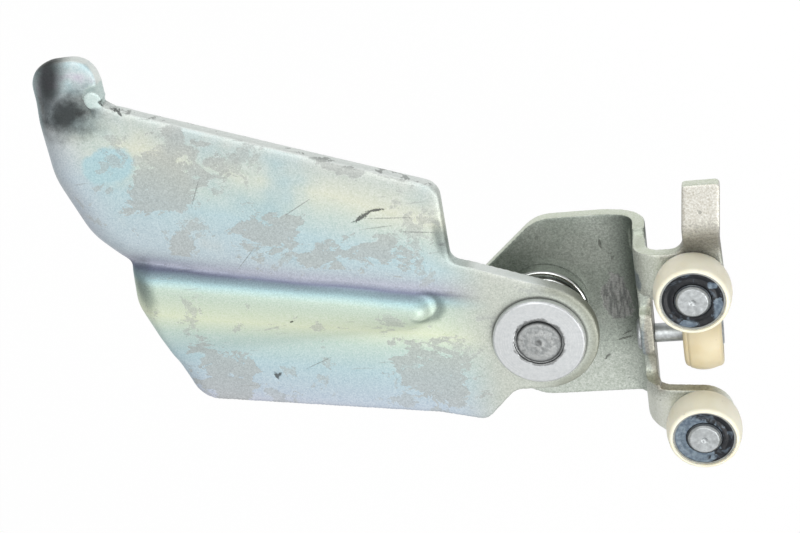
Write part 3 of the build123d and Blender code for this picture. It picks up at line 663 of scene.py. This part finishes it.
def white_floor():
    """Floor white to the camera and in reflections, with a faint shadow, unseen from below."""
    floor = Recipe("white_floor")
    light = floor.add("ShaderNodeLightPath").outputs
    seen = floor.most(light["Is Camera Ray"], light["Is Glossy Ray"], light["Is Transmission Ray"])
    glow = floor.add("ShaderNodeEmission", {"Color": (1, 1, 1, 1)})
    above = floor.add("ShaderNodeMixShader", {
        0: floor.times(seen, FLOOR_GLOW), 1: floor.shader.outputs[0], 2: glow.outputs[0]})
    both = floor.add("ShaderNodeMixShader", {
        0: floor.add("ShaderNodeNewGeometry").outputs["Backfacing"], 1: above.outputs[0],
        2: floor.add("ShaderNodeBsdfTransparent").outputs[0]})
    floor.feed(floor.nodes["Material Output"].inputs["Surface"], both.outputs[0])
    floor.colour = floor.ramp(floor.grain(3, 2, 0.5), ((0.3, (243, 243, 243)), (0.7, (248, 248, 248))))
    return floor.finish(0.9)


def wear(piece, material):
    """Puts one material on a piece."""
    piece.data.materials.clear()
    piece.data.materials.append(material)


def hand_over(piece, body, slot_name, *nodes):
    """Seats a finished piece on its body in place of CAD nodes."""
    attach(piece, body)
    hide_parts(*nodes)


def smoothed(piece, name, passes):
    """Smoothing modifier of so many passes."""
    smooth = piece.modifiers.new(name, "SMOOTH")
    smooth.factor = 0.5
    smooth.iterations = passes
    return smooth


def settle(piece):
    """Applies a piece's modifiers."""
    evaluated = piece.evaluated_get(bpy.context.evaluated_depsgraph_get())
    before = piece.data
    piece.data = bpy.data.meshes.new_from_object(evaluated)
    piece.modifiers.clear()
    bpy.data.meshes.remove(before)
    piece.data.name = piece.name


def skin(node, name, voxel, easing):
    """Fine copy of a CAD node's mesh, its sheared edges eased.

    The mesh is made askew, so that no long edge runs nearly along the rows of its cells.
    """
    askew = Matrix.Rotation(ASKEW, 4, "Z")
    piece = bpy.data.objects.new(name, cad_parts[node].data.copy())
    piece.data.transform(askew)
    bpy.context.collection.objects.link(piece)
    remesh = piece.modifiers.new("Fine mesh", "REMESH")
    remesh.mode = "VOXEL"
    remesh.voxel_size = voxel
    remesh.use_smooth_shade = True
    smoothed(piece, "Ease edges", easing)
    settle(piece)
    piece.data.transform(askew.inverted())
    return piece


def draw_soft(piece, weights, passes):
    """Rounds the bends of a skin as a press draws them, each point by its own weight."""
    group = piece.vertex_groups.new(name="drawn")
    for level in range(1, 11):
        members = np.flatnonzero(np.ceil(weights * 10) == level)
        if len(members):
            group.add(members.tolist(), level / 10, "REPLACE")
    smoothed(piece, "Draw soft", passes).vertex_group = "drawn"
    settle(piece)
    piece.vertex_groups.clear()


def fade(values, start, end):
    """Smooth rise of an array's values from 0 at start to 1 at end."""
    share = np.clip((values - start) / (end - start), 0, 1)
    return share * share * (3 - 2 * share)


def surface(piece):
    """Points and outward directions of a piece's mesh."""
    count = len(piece.data.vertices)
    points = np.empty(3 * count)
    directions = np.empty(3 * count)
    piece.data.vertices.foreach_get("co", points)
    piece.data.vertex_normals.foreach_get("vector", directions)
    return points.reshape(-1, 3), directions.reshape(-1, 3)


def sink(piece, depth):
    """Presses each point of a piece inwards by its own depth in metres."""
    points, directions = surface(piece)
    piece.data.vertices.foreach_set("co", (points - directions * depth[:, None]).ravel())
    piece.data.update()


def unevenness(points, size, seed):
    """Smooth noise from 0 to 1 at each point, with features of about size mm."""
    shift = Vector((seed * 1.7, seed * 2.3, seed * 0.9))
    levels = [noise.noise(Vector(point) / (size * MM) + shift) for point in points]
    return np.clip(0.5 + 0.5 * np.array(levels), 0, 1)


def dent(points, place, size, turn, depth, front=None):
    """Depth of one oval dent across the plate, on faces above a height if one is given."""
    across = points[:, 0] - place[0] * MM
    along = points[:, 1] - place[1] * MM
    u = (across * math.cos(turn) + along * math.sin(turn)) / (size[0] * MM / 2)
    v = (along * math.cos(turn) - across * math.sin(turn)) / (size[1] * MM / 2)
    hollow = depth * MM * np.exp(-(u * u + v * v))
    if front is not None:
        hollow[points[:, 2] < front * MM] = 0
    return hollow


def around(angle, height=0.0):
    """Point one unit from the axis, for noise that closes round a turned piece."""
    return Vector((math.cos(angle), math.sin(angle), height))


def lathe(name, profile, centre, axis, steps, uneven):
    """Closed turned piece: profile of (radius, height) in metres about axis 0 or 2 through centre.

    uneven gives each point's shift outwards and up, from its radius, height and angle.
    """
    turn = Vector((0, 0, 1)).rotation_difference(Vector((axis == 0, 0, axis == 2))).to_matrix()
    mesh = bmesh.new()
    rings = []
    for radius, height in profile:
        if radius < ON_AXIS:
            rings.append([mesh.verts.new(Vector(centre) + turn @ Vector((0, 0, height)))])
            continue
        ring = []
        for step in range(steps):
            angle = 2 * math.pi * step / steps
            out, up = uneven(radius, height, angle)
            point = Vector(((radius + out) * math.cos(angle), (radius + out) * math.sin(angle), height + up))
            ring.append(mesh.verts.new(Vector(centre) + turn @ point))
        rings.append(ring)
    closed = list(zip(rings, rings[1:]))
    if profile[0][0] > ON_AXIS and profile[-1][0] > ON_AXIS:
        closed.append((rings[-1], rings[0]))
    for low, high in closed:
        join_rings(mesh, low, high, steps)
    bmesh.ops.recalc_face_normals(mesh, faces=mesh.faces)
    return mesh_piece(name, mesh)


def mesh_piece(name, mesh):
    """Object made of a finished mesh."""
    data = bpy.data.meshes.new(name)
    mesh.to_mesh(data)
    mesh.free()
    data.shade_smooth()
    piece = bpy.data.objects.new(name, data)
    bpy.context.collection.objects.link(piece)
    return piece


def join_rings(mesh, low, high, steps):
    """Faces between two rings of a turned piece, either of which may be one point."""
    for step in range(steps):
        after = (step + 1) % steps
        if len(low) == 1:
            mesh.faces.new((low[0], high[step], high[after]))
        elif len(high) == 1:
            mesh.faces.new((low[step], high[0], low[after]))
        else:
            mesh.faces.new((low[step], high[step], high[after], low[after]))


def rounded(corners, radii, parts=6):
    """Profile with its corners rounded, each by its own radius, in mm, given back in metres."""
    count = len(corners)
    profile = []
    for index, (corner, radius) in enumerate(zip(corners, radii)):
        here = Vector(corner)
        if radius == 0:
            profile.append(here * MM)
            continue
        before = (Vector(corners[index - 1]) - here).normalized()
        after = (Vector(corners[(index + 1) % count]) - here).normalized()
        half = before.angle(after) / 2
        reach = radius / math.tan(half)
        centre = here + (before + after).normalized() * (radius / math.sin(half))
        start = here + before * reach - centre
        sweep = start.angle_signed(here + after * reach - centre)
        for part in range(parts + 1):
            arm = start.copy()
            arm.rotate(Matrix.Rotation(-sweep * part / parts, 2))
            profile.append((centre + arm) * MM)
    return [(point.x, point.y) for point in profile]


def divided(profile, longest):
    """Closed profile with points added so that no run is longer than longest, in metres."""
    result = []
    for (r0, h0), (r1, h1) in zip(profile, profile[1:] + profile[:1]):
        parts = max(1, math.ceil(math.hypot(r1 - r0, h1 - h0) / longest))
        for part in range(parts):
            share = part / parts
            result.append((r0 + share * (r1 - r0), h0 + share * (h1 - h0)))
    return result


def to_tip(profile, tip):
    """Profile in metres up to its last point off the axis, then its tip on the axis."""
    last = max(index for index, (radius, _) in enumerate(profile) if radius > ON_AXIS)
    return profile[: last + 1] + [(0, tip * MM)]


def place_of(node, axis):
    """Centre of a turned node's low end, its outer radius and its length, from the frame."""
    low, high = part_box(node)
    middle = (low + high) / 2
    length = high[axis] - low[axis]
    radius = max(high[i] - low[i] for i in range(3) if i != axis) / 2
    middle[axis] = low[axis]
    return middle, radius / MM, length / MM


def roller_axis(roller):
    """Axis of a roller: across the carriage for the load roller, upright for the guides."""
    return 0 if roller == "load_roller" else 2


def make_arm(plate, finish):
    """Pressed arm with its dents, scars and the crack beside the corner tab."""
    piece = skin("door_arm", "pressed_arm", plate.arm_voxel, plate.easing)
    points, _ = surface(piece)
    x, y = points[:, 0] / MM, points[:, 1] / MM
    above = y - (CREASE[0][1] + CREASE[1] * (x - CREASE[0][0]))
    under_top = TOP_EDGE[0][1] + TOP_EDGE[1] * (x - TOP_EDGE[0][0]) - y
    off_ear = fade(x, 124, 121)
    crease = fade(above, -34, -22) * fade(above, 9, 4) * fade(x, 128, 118)
    tab = fade(y, 3, 9) * fade(x, 26, 23) * fade(np.hypot(x - LOBE[0], y - LOBE[1]), 3.5, 5.5)
    top = fade(under_top, 6, 3.5) * fade(x, 26, 30) * off_ear
    right = fade(x, 113, 115.5) * off_ear * fade(y, -48, -44)
    kink = fade(np.hypot(x - MARGIN_KINK[0], y - MARGIN_KINK[1]), 11, 6)
    draw_soft(piece, np.maximum.reduce([crease, tab, top, right]), plate.drawing)
    draw_soft(piece, kink, 4 * plate.drawing)
    points, _ = surface(piece)
    depth = plate.waviness * unevenness(points, 17, 1) + 0.25 * plate.waviness * unevenness(points, 3, 2)
    for scar in ARM_DENTS:
        depth += dent(points, *scar, front=ARM_FRONT)
    sink(piece, depth)
    wear(piece, arm_plating(finish))
    hand_over(piece, "arm", "arm_zinc", "door_arm")


def make_carriage(plate, finish):
    """Folded carriage with its draw marks and dents."""
    piece = skin("carriage_bracket", "folded_carriage", plate.carriage_voxel, plate.easing)
    points, _ = surface(piece)
    depth = 0.7 * plate.waviness * unevenness(points, 12, 3)
    depth += 0.25 * plate.waviness * unevenness(points, 2, 4)
    for scar in CARRIAGE_DENTS:
        depth += dent(points, *scar)
    sink(piece, depth)
    wear(piece, carriage_plating(finish))
    hand_over(piece, "carriage", "carriage_zinc", "carriage_bracket")


def make_washer(look, material):
    """Thick washer, its recess edge crumpled by the riveting of the pin."""
    centre, rim, thick = place_of("pivot_washer", 2)
    hole, recess, recess_depth, chamfer = 6.0, 7.5, 0.9, 0.5
    corners = [(hole, 0), (rim, 0), (rim, thick - chamfer), (rim - chamfer, thick), (recess, thick),
               (recess, thick - recess_depth), (hole, thick - recess_depth)]
    profile = divided(rounded(corners, [0, 0.3, 0.18, 0.18, 0.25, 0, 0]), 0.35 * MM)

    def crumple(radius, height, angle):
        if height <= (thick - 0.4) * MM:
            return 0, 0
        near = math.exp(-((radius / MM - recess) / 0.8) ** 2) if radius > (recess - 0.05) * MM else 0
        rag = noise.noise(around(angle) * 4.0) + 0.5 * noise.noise(around(angle) * 11.0)
        side = 0.5 + 0.5 * math.cos(angle - 1.9)
        shift = (0.10 + 0.30 * side) * rag * near * MM
        wobble = look.wobble * abs(noise.noise(around(angle) * 2 + Vector((0, 0, radius / MM / 5))))
        return shift, -abs(0.35 * shift) - wobble

    piece = lathe("pivot_washer_face", profile, centre, 2, look.steps, crumple)
    wear(piece, material)
    hand_over(piece, "carriage", "washer_steel", "pivot_washer")


def make_pin(look):
    """Swivel pin with its head behind and its riveted end smeared by the tool."""
    centre, head, total = place_of("pivot_pin", 2)
    head_high, shank, peen, peen_high, crown = 3.0, 6.0, 7.0, 0.8, 0.4
    neck, tip = total - peen_high - crown, total - 0.35
    corners = [(0, 0), (head, 0), (head, head_high), (shank, head_high), (shank, neck), (peen, neck),
               (peen, total - crown), (0.9, total), (0, tip)]
    profile = to_tip(divided(rounded(corners, [0, 1.2, 0.1, 0, 0, 0.1, 0.35, 0.3, 0]), 0.4 * MM), tip)

    def smear(radius, height, angle):
        if height < neck * MM:
            return 0, 0
        place = around(angle)
        out = 0.22 * noise.noise(place * 3.5 + Vector((3, 0, 0))) - 0.12
        spiral = math.sin(2.3 * radius / MM + angle + 3 * noise.noise(place * radius / MM * 0.4))
        up = 0.02 * (spiral - 1) + 0.09 * (noise.noise(place * radius / MM * 0.9) - 0.7)
        return out * MM * radius / (peen * MM), up * MM * min(1, radius / MM)

    piece = lathe("riveted_pin", profile, centre, 2, look.steps, smear)
    wear(piece, peened_steel())
    hand_over(piece, "carriage", "pin_steel", "pivot_pin")


def make_tread(look, roller, material):
    """Crowned nylon tread with the shallow wear of the rail."""
    axis = roller_axis(roller)
    centre, crown, wide = place_of(f"{roller}_tread", axis)
    _, race, race_wide = place_of(f"{roller}_outer_race", axis)
    lip, edge = race - 0.3, (wide - race_wide) / 2
    wall = crown - lip
    rim, rounding = crown - 0.33 * wall, 0.57 * wall
    corners = [(lip, wide), (lip, wide - edge), (race, wide - edge), (race, edge), (lip, edge), (lip, 0),
               (rim, 0)]
    arc = 8
    profile = rounded(corners, [0.15, 0, 0, 0, 0, 0.15, rounding], arc)[:-1]
    for share in np.linspace(0, 1, 15):
        height = rounding + share * (wide - 2 * rounding)
        offset = (height - wide / 2) / (wide / 2 - rounding)
        profile.append(((rim + (crown - rim) * (1 - offset * offset)) * MM, height * MM))
    for part in range(1, arc + 1):
        angle = math.pi / 2 * part / arc
        inset, drop = rounding * (1 - math.cos(angle)), rounding * (1 - math.sin(angle))
        profile.append(((rim - inset) * MM, (wide - drop) * MM))
    profile = divided(profile, 0.8 * MM)

    def rub(radius, height, angle):
        if radius <= (lip + 0.2) * MM:
            return 0, 0
        place = around(angle, height / MM / 8)
        worn = min(1, max(0, (radius / MM - rim) / (0.5 * (crown - rim))))
        inwards = -0.02 * (0.5 + noise.noise(place * 5)) - 0.05 * worn * (0.5 + noise.noise(place * 3))
        return inwards * MM, 0

    piece = lathe(f"{roller}_nylon", profile, centre, axis, look.steps, rub)
    wear(piece, material)
    hand_over(piece, f"{roller}_ring", "load_nylon" if axis == 0 else "guide_nylon", f"{roller}_tread")


def make_seal(look, roller, black, greased, shift):
    """Front seal with its pressed groove and lumps of grease."""
    axis = roller_axis(roller)
    centre, rim, thick = place_of(f"{roller}_front_seal", axis)
    inner = place_of(f"{roller}_inner_race", axis)[1] + 0.15
    groove, groove_half, groove_deep = (inner + rim) / 2, 0.9, 0.35
    corners = [(inner, 0), (rim, 0), (rim, thick), (groove + groove_half, thick),
               (groove, thick - groove_deep), (groove - groove_half, thick), (inner, thick)]
    profile = divided(rounded(corners, [0, 0, 0.12, 0.4, 0.5, 0.4, 0.12]), 0.3 * MM)

    def smear(radius, height, angle):
        if height < (thick - 0.5) * MM:
            return 0, 0
        place = around(angle) * radius / MM
        lump = noise.noise(place * 0.55 + Vector((shift, 0, 0))) - 1
        return 0, (0.10 * lump + 0.05 * (noise.noise(place * 1.6) - 1)) * MM

    piece = lathe(f"{roller}_greased_seal", profile, centre, axis, look.steps, smear)
    wear(piece, greasy_rubber(f"{roller}_seal_rubber", black, greased, shift))
    hand_over(piece, f"{roller}_ring", "seal_rubber", f"{roller}_front_seal")


def make_axle(look, roller, material):
    """Axle with its riveted foot, shoulder, seat and domed head with the turning centre."""
    axis = roller_axis(roller)
    centre, widest, total = place_of(f"{roller}_axle", axis)
    seat_long = place_of(f"{roller}_inner_race", axis)[2]
    neck, shoulder = (2.5, 2.9) if axis == 0 else (3.2, 4.8)
    seat, rivet, rivet_high, sheet, head_high = 3.0, 4.7, 1.2, 4.0, 1.0
    foot, head, tip = rivet_high + sheet, total - head_high, total - 0.6
    corners = [(0, 0), (rivet, 0), (rivet, rivet_high), (neck, rivet_high), (neck, foot), (shoulder, foot),
               (shoulder, head - seat_long), (seat, head - seat_long), (seat, head), (widest, head),
               (widest, head + 0.35), (widest - 0.55, total), (1.0, total), (0.35, total - 0.45), (0, tip)]
    radii = [0, 0.9, 0.1, 0, 0, 0.2, 0.2, 0, 0, 0.1, 0.2, 0.3, 0.25, 0.2, 0]
    profile = to_tip(divided(rounded(corners, radii), 0.5 * MM), tip)

    def chatter(radius, height, angle):
        if height < head * MM:
            return 0, 0
        place = around(angle) * radius / MM
        return 0, 0.06 * (noise.noise(place * 0.8 + Vector((total, 0, 0))) - 1) * MM * min(1, radius / MM)

    piece = lathe(f"{roller}_riveted_axle", profile, centre, axis, look.steps, chatter)
    wear(piece, material)
    hand_over(piece, "carriage", "axle_steel", f"{roller}_axle")


def soft_lamp(name, place, size, power):
    """Square lamp that shines at the object."""
    data = bpy.data.lights.new(name, "AREA")
    data.shape = "SQUARE"
    data.size = size
    data.energy = power
    lamp = bpy.data.objects.new(name, data)
    bpy.context.collection.objects.link(lamp)
    lamp.location = place
    lamp.rotation_euler = (Vector(LAMP_TARGET) - lamp.location).to_track_quat("-Z", "Y").to_euler()


def photo_camera():
    """Camera at the photograph's viewpoint."""
    data = bpy.data.cameras.new("photo_camera")
    data.sensor_width = SENSOR
    data.lens = SENSOR * FOCAL_SHARE
    data.clip_start = 0.01
    camera = bpy.data.objects.new("photo_camera", data)
    bpy.context.collection.objects.link(camera)
    camera.location = Vector(CAMERA_PLACE) * MM
    camera.rotation_mode = "ZYX"
    camera.rotation_euler = Euler(CAMERA_TURN, "ZYX")
    bpy.context.scene.camera = camera


def pale_world(level, horizon):
    """Plain light that fades towards the horizon, white where the camera looks past the floor."""
    world = bpy.data.worlds.new("pale_world")
    sky = Nodes(world)
    height = sky.component(sky.add("ShaderNodeTexCoord").outputs["Generated"], 2)
    ends = {"Value": height, "From Max": 0.8, "To Min": horizon, "To Max": level}
    light = sky.add("ShaderNodeMapRange", ends, interpolation_type="SMOOTHSTEP")
    seen = sky.add("ShaderNodeLightPath").outputs["Is Camera Ray"]
    background = sky.nodes["Background"]
    sky.feed(background.inputs["Strength"], sky.most(seen, light.outputs["Result"]))
    background.inputs["Color"].default_value = (1, 1, 1, 1)
    bpy.context.scene.world = world


def make_floor(drop):
    """Pale table top, falling away at its edges, well below the object."""
    mesh = bmesh.new()
    bmesh.ops.create_grid(mesh, x_segments=24, y_segments=24, size=FLOOR_HALF)
    for vert in mesh.verts:
        away = max(0, vert.co.length - FLOOR_FLAT)
        vert.co.z = -FLOOR_FALL * away * away
    floor = mesh_piece("studio_floor", mesh)
    floor.location = (*FLOOR_CENTRE, -drop)
    wear(floor, white_floor())


class ROLLERGUIDE_OT_sheets(bpy.types.Operator):
    """Skins the pressed arm and the folded carriage"""

    bl_idname = "rollerguide.sheets"
    bl_label = "Pressed sheets"

    def execute(self, context):
        plate, finish = context.scene.rollerguide_plate, context.scene.rollerguide_finish
        make_arm(plate, finish)
        make_carriage(plate, finish)
        return {"FINISHED"}


class ROLLERGUIDE_OT_swivel(bpy.types.Operator):
    """Builds the washer and the riveted pin, and finishes the collar and the bush"""

    bl_idname = "rollerguide.swivel"
    bl_label = "Swivel"

    def execute(self, context):
        look, finish = context.scene.rollerguide_lathe, context.scene.rollerguide_finish
        make_washer(look, turned_steel("bright_washer", finish.washer_steel, 0.32, dirt=0.12, round_pin=True))
        make_pin(look)
        wear(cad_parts["pivot_collar"], bright_collar())
        wear(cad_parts["pivot_bush"], sintered_bronze())
        return {"FINISHED"}


class ROLLERGUIDE_OT_rollers(bpy.types.Operator):
    """Builds treads, seals and axles, and finishes what lies inside the rollers"""

    bl_idname = "rollerguide.rollers"
    bl_label = "Rollers"

    def execute(self, context):
        look, finish = context.scene.rollerguide_lathe, context.scene.rollerguide_finish
        guide = moulded_nylon("guide_nylon", finish.guide_nylon, (230, 224, 200), (1.0, 0.8, 0.5))
        load = moulded_nylon("load_nylon", finish.load_nylon, (206, 191, 154), (1.0, 0.75, 0.4))
        axle = turned_steel("axle_steel", finish.axle_steel, 0.34, dirt=0.35)
        inside = {
            "outer_race": turned_steel("race_steel", (158, 160, 157), 0.34, metallic=0.9, dirt=0.5),
            "balls": turned_steel("ball_steel", (210, 213, 216), 0.1, metallic=1.0),
            "cage": cage_nylon(),
            "rear_seal": greasy_rubber("rear_seal_rubber", finish.rubber, [], 9.0),
            "inner_race": turned_steel("oily_race", (72, 76, 80), 0.3, dirt=0.5),
        }
        for roller in ROLLERS:
            make_tread(look, roller, load if roller == "load_roller" else guide)
            make_seal(look, roller, finish.rubber, *SEAL_GREASE[roller])
            make_axle(look, roller, axle)
            for part, material in inside.items():
                wear(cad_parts[f"{roller}_{part}"], material)
        return {"FINISHED"}


class ROLLERGUIDE_OT_stage(bpy.types.Operator):
    """Sets up the camera, the lamps, the floor and the world"""

    bl_idname = "rollerguide.stage"
    bl_label = "Stage"

    def execute(self, context):
        look = context.scene.rollerguide_stage
        photo_camera()
        soft_lamp("key_lamp", KEY_PLACE, KEY_SIZE, look.key_power)
        soft_lamp("fill_lamp", FILL_PLACE, FILL_SIZE, look.fill_power)
        make_floor(look.floor_drop)
        pale_world(look.world_level, look.horizon_level)
        context.scene.view_settings.view_transform = "Standard"
        return {"FINISHED"}


class ROLLERGUIDE_PT_build(bpy.types.Panel):
    """Lists the steps that build the roller guide"""

    bl_idname = "ROLLERGUIDE_PT_build"
    bl_label = "Roller guide"
    bl_space_type = "VIEW_3D"
    bl_region_type = "UI"
    bl_category = "Roller guide"

    def draw(self, context):
        for settings in SETTINGS:
            group = getattr(context.scene, settings)
            for name in group.bl_rna.properties.keys():
                if name not in ("rna_type", "name"):
                    self.layout.prop(group, name)
        for step in STEPS:
            self.layout.operator(step.bl_idname)


SETTINGS = {
    "rollerguide_plate": PlateLook,
    "rollerguide_lathe": LatheLook,
    "rollerguide_finish": FinishLook,
    "rollerguide_stage": StageLook,
}
STEPS = (ROLLERGUIDE_OT_sheets, ROLLERGUIDE_OT_swivel, ROLLERGUIDE_OT_rollers, ROLLERGUIDE_OT_stage)
CLASSES = (*SETTINGS.values(), *STEPS, ROLLERGUIDE_PT_build)


def register():
    for each in CLASSES:
        bpy.utils.register_class(each)
    for name, group in SETTINGS.items():
        setattr(bpy.types.Scene, name, bpy.props.PointerProperty(type=group))


def unregister():
    for name in SETTINGS:
        delattr(bpy.types.Scene, name)
    for each in reversed(CLASSES):
        bpy.utils.unregister_class(each)


def main():
    register()
    bpy.ops.rollerguide.sheets()
    bpy.ops.rollerguide.swivel()
    bpy.ops.rollerguide.rollers()
    bpy.ops.rollerguide.stage()
    bpy.context.view_layer.update()


if __name__ == "__main__":
    main()
